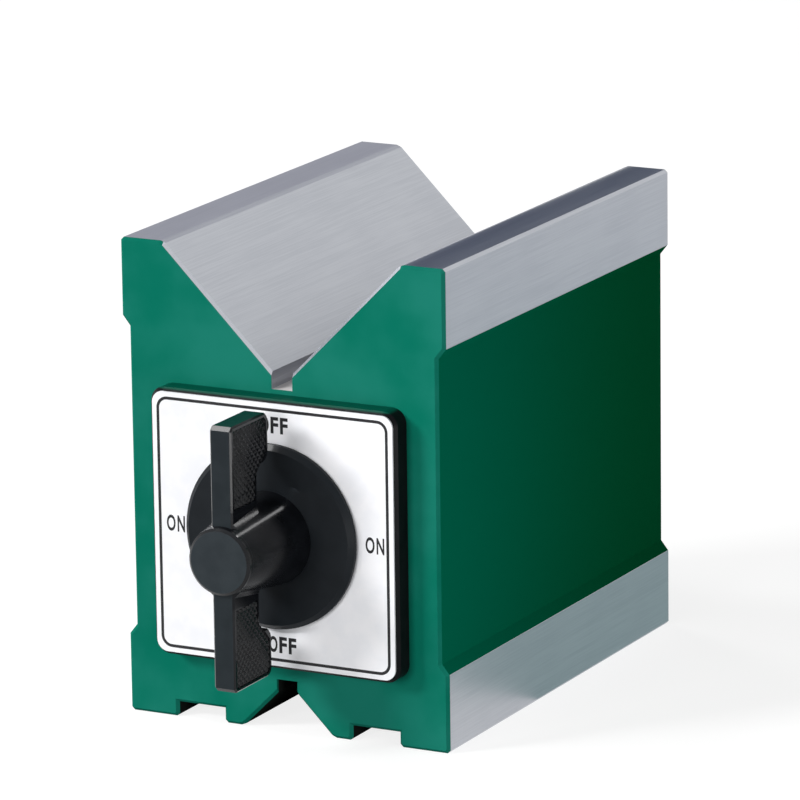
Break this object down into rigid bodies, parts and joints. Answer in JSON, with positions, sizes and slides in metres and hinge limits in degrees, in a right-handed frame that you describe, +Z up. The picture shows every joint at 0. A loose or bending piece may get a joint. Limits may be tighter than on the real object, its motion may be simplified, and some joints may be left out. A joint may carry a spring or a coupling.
{
  "type": "magnetic v-block",
  "caption": "Upright steel block with a right-angled V groove along its top, and a permanent magnet inside that a rotary knob on one end switches on and off.",
  "frame": {"origin": "on the plane of the foot soles, under the middle of the V groove and half-way along the block", "axes": "+X across the V groove to the right as seen from the knob, +Y along the groove from the knob to the rear, +Z up out of the groove"},
  "size_m": [0.07, 0.1262, 0.095],
  "materials": {
    "painted_block": "green paint on the ends and in the side channels; lands, V flanks, side bands and soles ground bare",
    "spacer_steel": "non-magnetic stainless strip, ground, painted over at its ends",
    "plate_black": "semi-gloss black",
    "label_white": "satin printed panel",
    "bearing_bronze": "turned",
    "painted_plug": "green paint",
    "rotor_brass": "turned",
    "rotor_iron": "ground",
    "magnet_dark": "cast magnet alloy",
    "fastener_steel": "zinc plated",
    "knob_black": "moulded, semi-gloss"
  },
  "bodies": {
    "block": {"left_pole_block": "painted_block", "right_pole_block": "painted_block", "upper_spacer": "spacer_steel", "lower_spacer": "spacer_steel", "switch_plate": "plate_black", "switch_plate_rivets": "fastener_steel", "label_panel": "label_white", "front_bush": "bearing_bronze", "front_thrust_washer": "bearing_bronze", "rear_plug": "painted_plug", "rear_bush": "bearing_bronze", "rear_thrust_washer": "bearing_bronze"},
    "rotor": {"rotor_front_cap": "rotor_brass", "rotor_rear_cap": "rotor_brass", "pole_shoe_upper": "rotor_iron", "pole_shoe_lower": "rotor_iron", "rotor_tie_rods": "fastener_steel", "magnet_block_1": "magnet_dark", "magnet_block_2": "magnet_dark", "magnet_block_3": "magnet_dark", "knob": "knob_black", "knob_insert": "rotor_brass", "knob_set_screw": "fastener_steel"}
  },
  "joints": [
    {"name": "switch_turn", "type": "hinge", "parent": "block", "child": "rotor", "pos_m": [0, 0, 0.0406], "axis": [0, 1, 0], "continuous": true}
  ]
}
